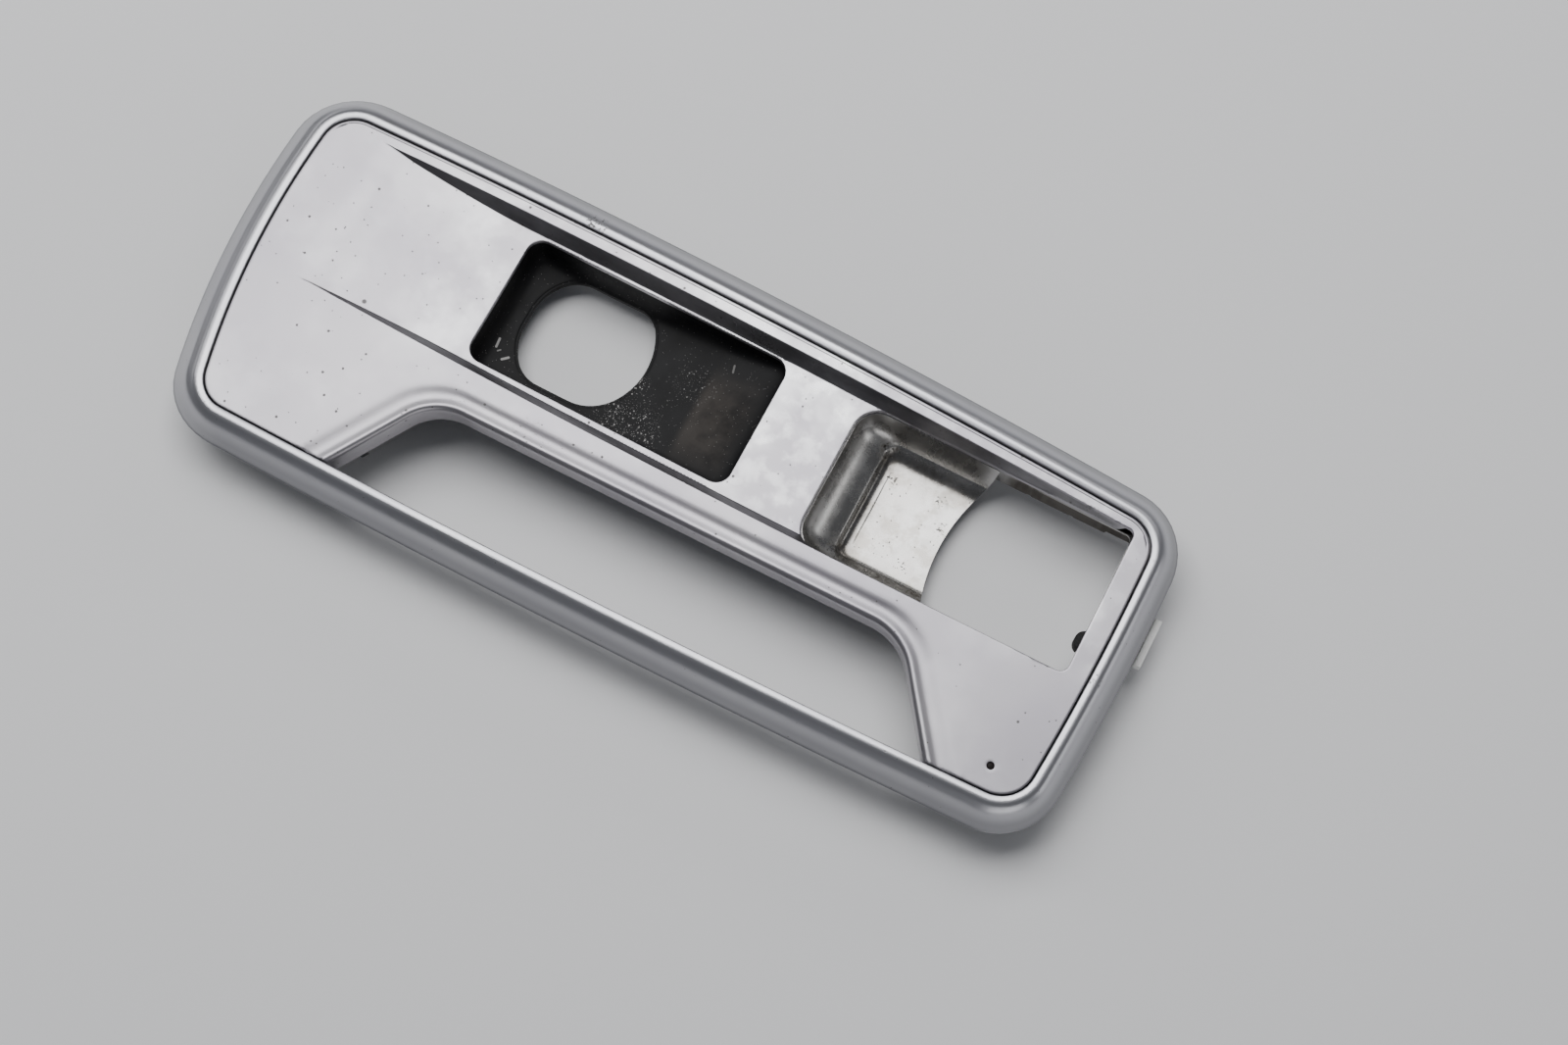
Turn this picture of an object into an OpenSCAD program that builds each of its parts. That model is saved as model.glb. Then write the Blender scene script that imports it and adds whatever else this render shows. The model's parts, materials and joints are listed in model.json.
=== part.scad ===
/* [Outline] */
// Half length across the fixing holes
fix_x = 136; // [130:0.5:137]
// Half width across the fixing holes
fix_y = 38; // [34:0.5:39]
// Height of the inlay plate's top face above the fixing plane
plate_top = 26; // [25:0.5:28]
// Corner radius of the seam between the surround and the inlay plate
seam_r = 11; // [9:0.5:13]
// Gap between the surround and the inlay plate
seam_gap = 0.5; // [0.3:0.1:0.8]

/* [Surround] */
// Width of the surround along its lower side, where it is the pull rail
rail_w = 9.8; // [9:0.1:11]
// Width of the surround at the right end
right_w = 9.3; // [9:0.1:11]
// Width of the surround along its upper side
upper_w = 10.5; // [9:0.1:12]
// Width of the surround at the left end
left_w = 12.3; // [10:0.1:13]
// Wall of the surround
skin = 2; // [1.6:0.1:2.2]

/* [Inlay plate] */
// Thickness of the plate
sheet = 1.8; // [1.4:0.1:2]
// Depth of the sunken band that holds the switch pocket and the lever
band_depth = 5; // [4:0.1:5.4]
// Length over which the band sinks to its full depth
band_ramp = 55.4; // [40:0.2:57]
// Depth of the turned-down wall round the hand pocket
grip_wall = 9.5; // [8:0.1:10]

/* [Hand pocket] */
// Slope of the hand pocket's left side, from the long axis
grip_left_slope = 59; // [56:0.5:62]
// Slope of the hand pocket's right side, from the long axis
grip_right_slope = 53.4; // [51:0.2:56]
// Radius of the hand pocket's left corner
grip_left_r = 17; // [14:0.5:18]
// Radius of the hand pocket's right corner
grip_right_r = 19; // [15:0.5:20]

/* [Switch pocket] */
// Length of the switch pocket's mouth
switch_l = 90.6; // [88:0.2:91]
// Width of the switch pocket's mouth
switch_w = 44.4; // [42:0.2:44.6]
// Radius under the switch pocket's curved floor
switch_floor_r = 230; // [150:1:240]

/* [Finger bowl] */
// Height of the bowl's floor above the fixing plane
bowl_floor = 5.5; // [5:0.1:8]
// Radius of the arc that ends the bowl's floor
bowl_arc_r = 60.6; // [58:0.2:62]

/* [Fasteners] */
// Bore of the threaded inserts in the four fixing towers
insert_bore = 4; // [3:0.5:4]
// Shank of the carrier screws
screw_d = 3; // [2.5:0.1:3]
// Travel of the end tongue into its keeper
tongue_travel = 2.5; // [1:0.1:2.5]
// Float of a retaining clip to each side in its slot
clip_float = 1.2; // [0.5:0.1:1.2]

/* [Hidden] */
$fn = 48;

eps = 0.02;
web_low = 12.5;                       // underside of the carrier's web
web_top = 14.5;                       // top of the carrier's web, where bosses stand
plate_low = plate_top - sheet;
band_floor = plate_top - band_depth;
band_sheet = 1.6;
bead_w = 3.4;                         // the surround's bright bead, next to the seam
web_reach = 8;                        // how far the web runs past the seam
core_h = 3.4;                         // height of the steel bar in the pull rail

// Seam outline: four long crowned sides, lower, right, upper and left, and the corners after them.
side_r = [5300, 750, 3247, 265];
side_c = [[-60, -49.3 + side_r[0]], [137.45 - side_r[1], 20],
          [-70, 54.6 - side_r[2]], [-151.4 + side_r[3], 28]];
corner_near = [[137, -47], [135, 49], [-149, 52], [-140, -49]];

function unit(v) = v / norm(v);
function angle_of(v) = atan2(v.y, v.x);
function after(a, start) = a < start ? after(a + 360, start) : a;
function polar(r, a) = r * [cos(a), sin(a)];
function clamp01(t) = max(0, min(1, t));

// Where two circles cross, on the side nearest to a point.
function crossing(a, ra, b, rb, near) =
    let (d = norm(b - a), u = (b - a) / d, t = (ra * ra - rb * rb + d * d) / (2 * d),
         h = sqrt(ra * ra - t * t), p = a + t * u + h * [-u.y, u.x], q = a + t * u - h * [-u.y, u.x])
    norm(p - near) < norm(q - near) ? p : q;

corner_c = [for (i = [0:3]) let (j = (i + 1) % 4)
    crossing(side_c[i], side_r[i] - seam_r, side_c[j], side_r[j] - seam_r, corner_near[i])];

// Stations round the seam, each a point and its outward angle.
side_steps = [22, 14, 22, 14];
corner_steps = 7;
seam = [for (i = [0:3])
    let (prev = (i + 3) % 4, next = (i + 1) % 4,
         a0 = after(angle_of(corner_c[prev] - side_c[i]), -100 + 90 * i),
         a1 = after(angle_of(corner_c[i] - side_c[i]), a0),
         a2 = after(angle_of(corner_c[i] - side_c[next]), a1))
    each concat(
        [for (k = [0:side_steps[i] - 1]) let (a = a0 + (a1 - a0) * k / side_steps[i])
            [side_c[i] + polar(side_r[i], a), a]],
        [for (k = [0:corner_steps - 1]) let (a = a1 + (a2 - a1) * k / corner_steps)
            [corner_c[i] + polar(seam_r, a), a]])];

function outline(d) = [for (s = seam) s[0] + polar(d, s[1])];

// The surround is a little wider on some sides, so its outer slope stretches with direction.
function surround_w(a) =
    right_w * pow(max(cos(a), 0), 2) + left_w * pow(max(-cos(a), 0), 2)
    + upper_w * pow(max(sin(a), 0), 2) + rail_w * pow(max(-sin(a), 0), 2);
function stretched(s, a) =
    s <= bead_w ? s : bead_w + (s - bead_w) * (surround_w(a) - bead_w) / (rail_w - bead_w);

// Section of the surround: distance out from the seam, and height from the plate's top.
surround_section = [
    [0, 0], [0.4, 0.4], [1.3, 0.6], [2.4, 0.5], [3.4, 0], [4.8, -1.15], [6, -2.65],
    [7.2, -4.6], [8.3, -6.75], [9.2, -8.55], [9.8, -9.4], [9.8 - skin, -9.4], [6.7, -7.7],
    [5.6, -5.6], [4.5, -3.8], [3.4, -2.4], [skin, -1.6], [skin, -11.5], [0, -11.5]
];

// Straight-sided shapes with rounded corners.
function fillet(a, b, c, r, n) =
    let (u = unit(a - b), v = unit(c - b), half = acos(u * v) / 2, k = b + unit(u + v) * r / sin(half),
         a0 = angle_of(b + u * r / tan(half) - k), a1 = angle_of(b + v * r / tan(half) - k),
         turn = (a1 - a0 + 540) % 360 - 180)
    r <= 0 ? [b] : [for (i = [0:n]) k + polar(r, a0 + turn * i / n)];
function rounded(pts, radii, n = 8) =
    [for (i = [0:len(pts) - 1]) let (m = len(pts))
        each fillet(pts[(i + m - 1) % m], pts[i], pts[(i + 1) % m], radii[i], n)];
// A convex anticlockwise polygon pushed out by d.
function grown(pts, d) =
    [for (i = [0:len(pts) - 1])
        let (m = len(pts), e0 = unit(pts[i] - pts[(i + m - 1) % m]), e1 = unit(pts[(i + 1) % m] - pts[i]),
             n0 = [e0.y, -e0.x], n1 = [e1.y, -e1.x])
        pts[i] + (n0 + n1) * d / (1 + n0 * n1)];
function raised(radii, d) = [for (r = radii) r > 0 ? r + d : 0];

// Hand pocket, open towards the pull rail.
grip_top_left = [-75.4, -17];
grip_top_right = [82.3, -15.8];
grip_low = -60;
grip_pts = [
    [grip_top_left.x - (grip_top_left.y - grip_low) / tan(grip_left_slope), grip_low],
    [grip_top_right.x + (grip_top_right.y - grip_low) / tan(grip_right_slope), grip_low],
    grip_top_right, grip_top_left
];
grip_radii = [0, 0, grip_right_r, grip_left_r];
function grip(d) = rounded(grown(grip_pts, d), raised(grip_radii, d), 10);

// Sunken band between two long creases.
band_start = -134.4;
band_end = 127;
function crease_up(x) = 50.2 - pow(x + 85, 2) / 8400;
function crease_low(x) = -4.6 + pow(x - 50, 2) / 9940;
function depth(x) = band_depth * (1 - pow(1 - clamp01((x - band_start) / band_ramp), 1.6));
run_up = 3.1;
run_low = 3.2;
lever_x = 39.7;                       // left and right edges of the bowl's mouth
lever_end = 130;
function reach_up(x) = run_up * (1 - clamp01((x - lever_x) / (lever_end - lever_x)));
band_steps = 22;
band_x = [for (i = [0:band_steps]) i <= 12
    ? band_start + band_ramp * i / 12
    : band_start + band_ramp + (band_end - band_start - band_ramp) * (i - 12) / (band_steps - 12)];

// A trough along the band: its walls stand out by side and its floor drops by down.
module trough(side, down, top) {
    ring = 4;
    pts = [for (x = band_x) let (d = max(depth(x), 0.03), share = (d + top) / band_depth)
        each [[x, crease_low(x) - side - run_low * top / band_depth, plate_top + top],
              [x, crease_low(x) - side + run_low * d / band_depth, plate_top - d - down],
              [x, crease_up(x) + side - reach_up(x) * d / band_depth, plate_top - d - down],
              [x, crease_up(x) + side + reach_up(x) * top / band_depth, plate_top + top]]];
    last = ring * band_steps;
    polyhedron(pts, concat(
        [[0, 1, 2], [0, 2, 3], [last, last + 2, last + 1], [last, last + 3, last + 2]],
        [for (i = [0:band_steps - 1], k = [0:ring - 1])
            let (a = ring * i + k, b = ring * i + (k + 1) % ring)
            each [[a, a + ring, b + ring], [a, b + ring, b]]]));
}

// Mouths and windows, anticlockwise.
switch_left = -76.7;
switch_low = 1.3;
switch_pts = [[switch_left, switch_low + 0.4], [switch_left + switch_l, switch_low - 0.4],
              [switch_left + switch_l, switch_low + switch_w - 0.4],
              [switch_left, switch_low + switch_w + 0.4]];
function switch_mouth(d) = rounded(grown(switch_pts, d), raised([5, 5, 5, 5], d));
switch_hole = rounded([[-61.2, 6.8], [-35.9, 6.8], [-27.4, 19.7], [-27.4, 33.1], [-33.5, 43.6],
                       [-61.2, 43.6], [-68.5, 33.9], [-68.5, 16.2]], [11, 16, 22, 25, 9, 12, 18, 18], 5);
switch_deep = 8;                      // lowest point of the curved floor
switch_deep_x = -48;

lever_pts = [[lever_x, -4.4], [lever_end, -4.1], [lever_end, 44.7], [lever_x, 45.3]];
function lever_mouth(d) = rounded(grown(lever_pts, d), raised([8.5, 3, 2, 8.5], d));
bowl_pts = [[53.4, 3.7], [96, 3.7], [96, 36.7], [53.4, 36.7]];
flange_pts = [[32.6, -6.4], [136, -6.4], [136, 46.6], [32.6, 47.4]];
bowl_wall = 1.2;
bowl_arc_c = [139.7, 18];
cheek_low = 9;

// Fasteners and small fittings, in plan.
function seam_low(x) = -49.3 + pow(x + 60, 2) / (2 * side_r[0]);
function seam_up(x) = 54.6 - pow(x + 70, 2) / (2 * side_r[2]);
boss_out = 4.4;                       // surround bosses stand this far past the seam
boss_top = 20.6;
surround_at = [
    [-110, seam_up(-110) + boss_out], [-20, seam_up(-20) + boss_out], [76, seam_up(76) + boss_out],
    [-154.4, 6], [141, -12], [-118, seam_low(-118) - boss_out], [120, seam_low(120) - boss_out]
];
rail_at = [for (x = [-60, 5, 70]) [x, seam_low(x) - boss_out]];
plate_at = [[-141, 22], [-104, 45.5], [-107, -40], [27, 22], [122, -12], [113, -36]];
pocket_at = [[-81.6, 8], [-81.6, 40], [18.8, 8], [18.8, 38]];
bowl_at = [[35.2, 6], [35.2, 38], [134, -3], [134, 30]];
lens_at = [122.7, -38.4];
stop_at = [130.9, 8.8];
tongue_y = 19.4;                      // centre line of the end tongue
pin_x = 137;                          // the tongue's guide pin
pin_r = 1.2;
clip_at = [[-88, 52.8], [27, 52]];
clip_head_r = 5.5;
clip_neck_r = 2.5;
fix_at = [for (sx = [-1, 1], sy = [-1, 1]) [sx * fix_x, sy * fix_y]];
tower_r = 5.5;
insert_r = 3.2;
insert_l = 9;

module slab(pts, low, high) translate([0, 0, low]) linear_extrude(high - low) polygon(pts);
module post(at, r, low, high) translate([at.x, at.y, low]) cylinder(r = r, h = high - low);
module block(x0, y0, z0, x1, y1, z1) translate([x0, y0, z0]) cube([x1 - x0, y1 - y0, z1 - z0]);

// A pan head screw driven up from below: head under the web, shank to the given height.
module carrier_screw(at, tip, d = screw_d) {
    difference() {
        translate([at.x, at.y, 0]) rotate_extrude() polygon([
            [0, web_low - 2], [d * 0.7, web_low - 2], [d * 0.92, web_low - 1.5], [d * 0.92, web_low],
            [d / 2, web_low], [d / 2, tip - 1], [d / 4, tip], [0, tip]]);
        for (a = [0, 90]) translate([at.x, at.y, web_low - 2]) rotate(a)
            cube([d * 0.9, 0.6, 1.6], center = true);
    }
}

// Surround, with the pull rail as its lower side.
module surround() {
    n = len(seam);
    m = len(surround_section);
    boss_r = 2.5;
    color("silver") difference() {
        union() {
            polyhedron(
                [for (s = seam, q = surround_section)
                    let (p = s[0] + polar(stretched(q[0], s[1]), s[1])) [p.x, p.y, plate_top + q[1]]],
                [for (i = [0:n - 1], k = [0:m - 1])
                    let (j = (i + 1) % n, l = (k + 1) % m,
                         a = i * m + k, b = i * m + l, c = j * m + l, d = j * m + k)
                    each [[a, c, b], [a, d, c]]]);
            for (at = surround_at) post(at, boss_r, web_top, boss_top);
            for (at = rail_at) post(at, boss_r, web_top + core_h, boss_top);
        }
        for (at = concat(surround_at, rail_at)) post(at, screw_d / 2 + eps, 0, boss_top - 1);
    }
}

// Inlay plate: flat sheet, sunken band, turned-down wall round the hand pocket, screw bosses.
module inlay_plate() {
    boss_r = 3.4;
    color("gainsboro") difference() {
        union() {
            slab(outline(-seam_gap), plate_low, plate_top);
            intersection() {
                trough(1.5, band_sheet, -1);
                slab(outline(-3), band_floor - 2, plate_top);
            }
            intersection() {
                slab(grip(band_sheet), plate_top - grip_wall, plate_top - 0.2);
                slab(outline(-seam_gap), 0, plate_top);
            }
            for (at = plate_at)
                post(at, boss_r, web_top, at.x == 27 || at.y > 40 ? band_floor : plate_low + 1);
        }
        trough(0, 0, 1);
        slab(grip(0), 0, 40);
        slab(switch_mouth(0), 0, 40);
        slab(lever_mouth(0), 0, 40);
        post(lens_at, 1.15, 0, 40);
        for (at = plate_at) post(at, screw_d / 2 + eps, 0, 18.6);
    }
}

// Liner of the switch pocket: flange, cup with a curved floor, and the window for the switch body.
module switch_pocket() {
    wall = 1.6;
    top = band_floor - band_sheet - 0.05;
    boss_r = 2.6;
    color("#26262a") difference() {
        union() {
            slab(switch_mouth(2.4), top - 1.5, top);
            intersection() {
                slab(switch_mouth(wall), switch_deep - wall, top);
                switch_floor(wall);
            }
            for (at = pocket_at) {
                post(at, boss_r, web_top, top);
                block(min(at.x, at.x < 0 ? -79 : 15), at.y - boss_r, top - 1.5,
                      max(at.x, at.x < 0 ? -79 : 15), at.y + boss_r, top);
            }
        }
        intersection() {
            slab(switch_mouth(0.02), 0, 40);
            switch_floor(0);
        }
        slab(switch_hole, 0, 40);
        for (at = pocket_at) post(at, 1.1 + eps, 0, top - 1);
    }
}

// Everything above the pocket's curved floor, let down by drop.
module switch_floor(drop) {
    r = switch_floor_r + drop;
    translate([switch_deep_x, 60, switch_deep + switch_floor_r]) rotate([90, 0, 0])
        cylinder(r = r, h = 80, $fn = 180);
}

// Pressed bowl behind the release lever, with a cheek along each long side of the opening.
module finger_bowl() {
    top = band_floor - band_sheet - 0.05;
    boss_r = 2.6;
    color("lightsteelblue") {
        difference() {
            union() {
                difference() {
                    hull() {
                        slab(rounded(grown(lever_pts, bowl_wall), [9, 4, 3, 9], 5), top - 1, top);
                        slab(rounded(grown(bowl_pts, bowl_wall), [6, 1, 1, 6], 5),
                             bowl_floor - bowl_wall, bowl_floor);
                    }
                    hull() {
                        slab(rounded(lever_pts, [8.5, 3, 2, 8.5], 5), top, top + 1);
                        slab(rounded(bowl_pts, [5, 0.6, 0.6, 5], 5), bowl_floor, bowl_floor + 0.1);
                    }
                    post(bowl_arc_c, bowl_arc_r, 0, 40);
                    block(bowl_arc_c.x - 40, -20, 0, 150, 60, 40);
                }
                intersection() {
                    slab(rounded(flange_pts, [3, 3, 3, 3]), top - bowl_wall, top);
                    slab(outline(-seam_gap), 0, 40);
                }
                for (side = [0, 1]) {
                    y0 = side ? 45.35 : -5.7;
                    block(78, y0, cheek_low, 122, y0 + bowl_wall, top);
                    block(122, y0, cheek_low + 2, 131.4, y0 + bowl_wall, top);
                }
                for (at = bowl_at) post(at, boss_r, web_top, top - 0.2);
            }
            slab(lever_mouth(0), top - 2, 40);
            block(126, stop_at.y - 3.6, top - 2, 138, stop_at.y + 3.6, 40);
            for (at = bowl_at) post(at, 1.1 + eps, 0, top - 1);
        }
    }
}

// Moulded backing frame: web, skirt, ribs, fixing towers, clip slots and the tongue's keeper.
module carrier() {
    rib_low = 8;
    color("#1c1c1e") difference() {
        union() {
            slab(outline(web_reach), web_low, web_top);
            difference() {
                slab(outline(-1), 6, web_low);
                slab(outline(-3), 0, 20);
                block(-97, -60, 0, 108, -40, 20);
                block(130, tongue_y - 9.4, 0, 146, tongue_y + 9.4, 20);
                for (at = clip_at) block(at.x - 9, at.y - 9, 0, at.x + 9, at.y + 9, 20);
            }
            for (at = fix_at) post(at, tower_r, 0, web_low);
            carrier_ribs(rib_low);
            for (at = clip_at) block(at.x - 9, at.y - 7, 8.4, at.x + 9, at.y + 7.6, web_low);
            block(132.4, tongue_y - 8.9, 8.3, 143, tongue_y + 8.9, web_low);
        }
        carrier_windows();
        for (at = fix_at) post(at, insert_r + eps, -1, insert_l);
        for (at = concat(surround_at, plate_at, rail_at)) {
            post(at, screw_d / 2 + eps, 0, 20);
            post(at, screw_d * 0.92 + 0.6, 0, web_low);
        }
        for (at = concat(pocket_at, bowl_at)) {
            post(at, 1.1 + eps, 0, 20);
            post(at, 2.2 * 0.92 + 0.6, 0, web_low);
        }
        for (at = clip_at) {
            head = clip_head_r + clip_float + 0.3;
            neck = clip_neck_r + clip_float + 0.3;
            block(at.x - head, at.y - 7.1, 10.2, at.x + head, at.y + 6, web_low - 0.02);
            block(at.x - neck, at.y - 7.1, 0, at.x + neck, at.y + 2.8, 11);
        }
        block(130, tongue_y - 5.25, 0, 146, tongue_y + 5.25, web_low - 0.02);
        for (dy = [-7, 7]) post([138, tongue_y + dy], 1.1 + eps, 0, web_low - 0.5);
        post(lens_at, 2.1, 0, 20);
        post(lens_at, 4.4, 0, web_low);
        post([134.6, stop_at.y], 1.5 + eps, 0, 20);
        post([134.6, stop_at.y], 3.2, 0, web_low);
    }
}

module carrier_ribs(low) {
    t = 2;
    for (x = [-fix_x, -121]) block(x - t / 2, -42, low, x + t / 2, 46, web_low);
    for (y = [-fix_y, 0, fix_y]) block(-142, y - t / 2, low, -84, y + t / 2, web_low);
    block(-84, -9, low, 36, -7, web_low);
    for (x = [-60, -20, 25]) block(x - t / 2, -13, low, x + t / 2, -2, web_low);
    block(26, -8, low, 28, 44, web_low);
    block(108, -fix_y - 1, low, fix_x, -fix_y + 1, web_low);
    block(108, -22, low, fix_x, -20, web_low);
    block(108, -44, low, 110, -10, web_low);
}

// What has to stay open in the carrier.
module carrier_windows() {
    intersection() {
        slab(grip(2.4), -1, 40);
        slab(outline(-0.2), -1, 40);
    }
    slab(switch_mouth(2.2), -1, 40);
    slab(rounded([[37.9, -6.2], [131.6, -6.2], [131.6, 47.2], [37.9, 47.2]], [10, 3, 3, 10]), -1, 40);
}

// Steel bar inside the pull rail.
module rail_core() {
    xs = [for (i = [0:12]) -100 + 210 * i / 12];
    color("slategray") difference() {
        slab(concat([for (x = xs) [x, seam_low(x) - 6.6]],
                    [for (i = [12:-1:0]) [xs[i], seam_low(xs[i]) - 2.2]]), web_top, web_top + core_h);
        for (at = rail_at) post(at, screw_d / 2 + eps, 0, 40);
    }
}

// Nylon tongue that slides out past the right end.
module end_tongue() {
    color("white") difference() {
        union() {
            block(134, tongue_y - 4.85, 8.6, 147.4, tongue_y + 4.85, 11.8);
            block(147, tongue_y - 7.9, 8.2, 149.3, tongue_y + 7.9, 12.2);
            post([pin_x, tongue_y], pin_r, 7.2, 9);
        }
        block(140, tongue_y - 2.4, 10.6, 145.5, tongue_y + 2.4, 13);
    }
}

module tongue_cover() {
    color("#2c2c30") difference() {
        union() {
            block(132.6, tongue_y - 8.7, 6.8, 143, tongue_y + 8.7, 8.3);
            for (dy = [-7, 7]) post([138, tongue_y + dy], 2.6, 6.2, 7);
        }
        block(pin_x - tongue_travel - pin_r - 0.2, tongue_y - 1.5, 0,
              pin_x + pin_r + 0.3, tongue_y + 1.5, 10);
        for (dy = [-7, 7]) post([138, tongue_y + dy], 1.1 + eps, 0, 20);
    }
}

module tongue_cover_screws() {
    color("dimgray") for (dy = [-7, 7]) translate([138, tongue_y + dy, 0]) difference() {
        rotate_extrude() polygon([
            [0, 4.6], [1.6, 4.6], [2.1, 5], [2.1, 6.2], [1.1, 6.2], [1.1, 11.2], [0.5, 11.8], [0, 11.8]]);
        for (a = [0, 90]) translate([0, 0, 4.6]) rotate(a) cube([2, 0.5, 1.2], center = true);
    }
}

// Push-in retaining clip, free to float along its slot.
module retaining_clip(at) {
    translate([at.x, at.y, 0]) difference() {
        rotate_extrude() polygon([
            [0, 0.8], [1.2, 0.8], [2.9, 3.4], [3.1, 3.8], [2.1, 5.2], [2.1, 6.4], [5.6, 6.4], [5.6, 7.4],
            [5, 7.9], [clip_neck_r, 7.9], [clip_neck_r, 10.6], [clip_head_r, 10.6],
            [clip_head_r, 12.1], [0, 12.1]]);
        block(-0.6, -4, 0, 0.6, 4, 4.6);
    }
}

module clip_washer(at) {
    translate([at.x, at.y, 0]) rotate_extrude() polygon([[2.15, 5.3], [5.4, 5.3], [5.7, 6.35], [2.15, 6.35]]);
}

module left_clip() { color("ivory") retaining_clip(clip_at[0]); }
module right_clip() { color("ivory") retaining_clip(clip_at[1]); }
module left_clip_washer() { color("#3a3a3c") clip_washer(clip_at[0]); }
module right_clip_washer() { color("#3a3a3c") clip_washer(clip_at[1]); }

module surround_screws() { color("dimgray") for (at = surround_at) carrier_screw(at, boss_top - 1.2); }
module plate_screws() { color("dimgray") for (at = plate_at) carrier_screw(at, 18.4); }
module pocket_screws() { color("dimgray") for (at = pocket_at) carrier_screw(at, 18, 2.2); }
module bowl_screws() { color("dimgray") for (at = bowl_at) carrier_screw(at, 18, 2.2); }
module rail_screws() { color("dimgray") for (at = rail_at) carrier_screw(at, boss_top - 1.2); }

// Smoked light pipe behind the small indicator hole.
module indicator_lens() {
    color("#30201c") translate([lens_at.x, lens_at.y, 0]) rotate_extrude() polygon([
        [0, 10.2], [1.9, 10.2], [1.9, 17], [2.6, 17.4], [2.6, 23.4], [2, 24],
        [1.05, 24.1], [1.05, 25.5], [0, 25.7]]);
}

module lens_ring() {
    color("slategray") translate([lens_at.x, lens_at.y, 0]) rotate_extrude()
        polygon([[1.92, 11.3], [3.9, 11.7], [3.9, 12.48], [1.92, 12.2]]);
}

// Rubber stop that the release lever comes back against.
module bump_stop() {
    color("#18181a") {
        post(stop_at, 3, web_top, 21);
        block(stop_at.x, stop_at.y - 3, web_top, 136.8, stop_at.y + 3, 19.5);
        post([134.6, stop_at.y], 1.5, web_low - 1.8, web_top + 0.5);
        post([134.6, stop_at.y], 2.8, web_low - 1.8, web_low);
    }
}

// Felt under the web's edge, so the frame doesn't rattle on the trim.
module felt_strips() {
    thick = 0.9;
    color("#4a4a4c") {
        for (r = [[-74, -28], [40, 68], [84, 120]]) felt_run(r[0], r[1], thick);
        for (r = [[-46, -6], [17, 38]]) block(-159.4, r[0] + 24, web_low - thick, -156.8, r[1] + 10, web_low);
        block(140.6, -32, web_low - thick, 143, -18, web_low);
    }
}

module felt_run(x0, x1, thick) {
    xs = [for (i = [0:4]) x0 + (x1 - x0) * i / 4];
    slab(concat([for (x = xs) [x, seam_up(x) + 3.4]],
                [for (i = [4:-1:0]) [xs[i], seam_up(xs[i]) + 7.2]]), web_low - thick, web_low);
}

// Brass inserts for the screws that come from behind.
module fixing_inserts() {
    color("goldenrod") for (at = fix_at) translate([at.x, at.y, 0]) rotate_extrude() polygon([
        [insert_bore / 2, 0], [insert_r, 0], [insert_r, 3.4], [insert_r - 0.3, 3.7], [insert_r - 0.3, 5.3],
        [insert_r, 5.6], [insert_r, insert_l], [insert_bore / 2, insert_l]]);
}

surround();
inlay_plate();
switch_pocket();
finger_bowl();
carrier();
rail_core();
end_tongue();
tongue_cover();
tongue_cover_screws();
left_clip();
right_clip();
left_clip_washer();
right_clip_washer();
surround_screws();
plate_screws();
pocket_screws();
bowl_screws();
rail_screws();
indicator_lens();
lens_ring();
bump_stop();
felt_strips();
fixing_inserts();
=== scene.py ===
import json
import math

import bmesh
import bpy
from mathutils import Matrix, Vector
from mathutils.geometry import delaunay_2d_cdt
from mathutils.kdtree import KDTree


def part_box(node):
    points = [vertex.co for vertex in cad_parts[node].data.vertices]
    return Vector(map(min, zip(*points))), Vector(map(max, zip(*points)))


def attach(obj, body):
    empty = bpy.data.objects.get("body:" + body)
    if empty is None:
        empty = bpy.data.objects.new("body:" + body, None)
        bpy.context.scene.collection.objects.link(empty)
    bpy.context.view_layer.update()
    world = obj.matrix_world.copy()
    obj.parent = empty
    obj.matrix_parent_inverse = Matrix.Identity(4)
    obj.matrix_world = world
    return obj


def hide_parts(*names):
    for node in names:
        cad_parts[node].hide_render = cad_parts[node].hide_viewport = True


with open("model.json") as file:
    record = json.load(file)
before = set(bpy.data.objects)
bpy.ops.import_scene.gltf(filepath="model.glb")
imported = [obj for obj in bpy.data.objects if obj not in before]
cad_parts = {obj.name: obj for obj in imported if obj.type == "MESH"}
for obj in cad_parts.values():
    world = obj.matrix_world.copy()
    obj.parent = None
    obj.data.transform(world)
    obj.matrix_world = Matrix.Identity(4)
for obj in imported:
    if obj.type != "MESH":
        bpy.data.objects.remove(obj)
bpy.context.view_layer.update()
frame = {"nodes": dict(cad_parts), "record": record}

mm = 0.001                # the shapes' own numbers are in millimetres
nodes = frame["nodes"]
slotOf = {s["node"]: s["material_slot"] for s in frame["record"]["subparts"]}
bodyOf = {n: body for body, members in frame["record"]["behaviour"]["bodies"].items() for n in members}


view = {"lens": 50, "sensor": 36, "distance": 0.6486, "azimuth": 27.7, "elevation": 74,
        "target": (0.036, -0.0015, 0.026)}


def addCamera():
    data = bpy.data.cameras.new("camera")
    data.lens = view["lens"]
    data.sensor_width = view["sensor"]
    data.clip_start = 0.01
    camera = bpy.data.objects.new("camera", data)
    az, el = math.radians(view["azimuth"]), math.radians(view["elevation"])
    back = Vector((math.cos(el) * math.sin(az), -math.cos(el) * math.cos(az), math.sin(el)))
    camera.location = Vector(view["target"]) + back * view["distance"]
    camera.rotation_euler = back.to_track_quat("Z", "Y").to_euler()
    bpy.context.scene.collection.objects.link(camera)
    bpy.context.scene.camera = camera
    print("camera", view["lens"], view["distance"])


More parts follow.
